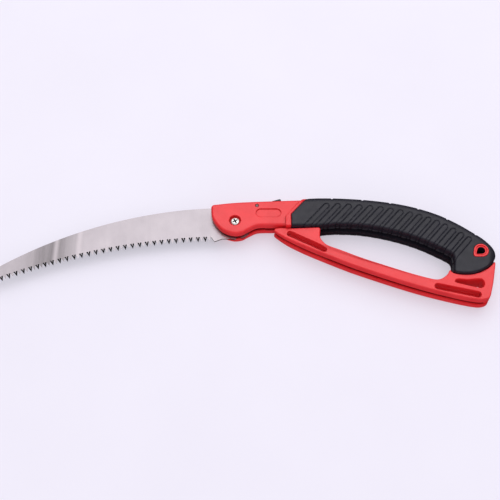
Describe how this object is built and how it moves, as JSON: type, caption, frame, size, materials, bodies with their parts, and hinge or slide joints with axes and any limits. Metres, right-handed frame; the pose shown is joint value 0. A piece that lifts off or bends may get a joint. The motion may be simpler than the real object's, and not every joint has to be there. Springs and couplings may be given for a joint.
{
  "type": "folding pruning saw",
  "caption": "Folding pruning saw with a curved toothed blade, ribbed rubber grip, red hand guard that sheathes the blade, and a thumb lock.",
  "frame": {"origin": "bottom centre of the bounding box, the saw lying open on its far side", "axes": "+X from the blade tip to the butt, +Y to the back of the saw, +Z through its thickness, up from the surface that it lies on"},
  "size_m": [0.4954, 0.1172, 0.025],
  "materials": {
    "blade_steel": "satin ground steel, brushed across the blade",
    "red_plastic": "moulded red plastic, satin",
    "black_rubber": "soft black rubber with moulded ribs",
    "bright_steel": "bright plated steel",
    "zinc_steel": "zinc-plated steel",
    "dark_steel": "blackened steel"
  },
  "bodies": {
    "handle": {"far_grip": "black_rubber", "far_pivot_washer": "zinc_steel", "far_shell": "red_plastic", "guard_screw_front": "zinc_steel", "guard_screw_rear": "zinc_steel", "hand_guard": "red_plastic", "handle_screw_1": "zinc_steel", "handle_screw_2": "zinc_steel", "handle_screw_3": "zinc_steel", "handle_screw_4": "zinc_steel", "lock_pin": "zinc_steel", "lock_spring": "zinc_steel", "near_grip": "black_rubber", "near_pivot_washer": "zinc_steel", "near_shell": "red_plastic", "pivot_nut": "bright_steel", "pivot_screw": "bright_steel", "pivot_sleeve": "zinc_steel"},
    "blade": {"blade": "blade_steel"},
    "lock_lever": {"lock_lever": "dark_steel"}
  },
  "joints": [
    {"name": "blade_fold", "type": "hinge", "parent": "handle", "child": "blade", "pos_m": [-0.00661, 0.02957, 0.0125], "axis": [0, 0, 1], "range_deg": [0, 144.5]},
    {"name": "lock_rock", "type": "hinge", "parent": "handle", "child": "lock_lever", "pos_m": [0.01529, 0.04697, 0.0125], "axis": [0, 0, 1], "range_deg": [0, 7], "stiffness_Nm_per_rad": 0.05, "springref_deg": 7, "deforming": ["lock_spring"]}
  ]
}
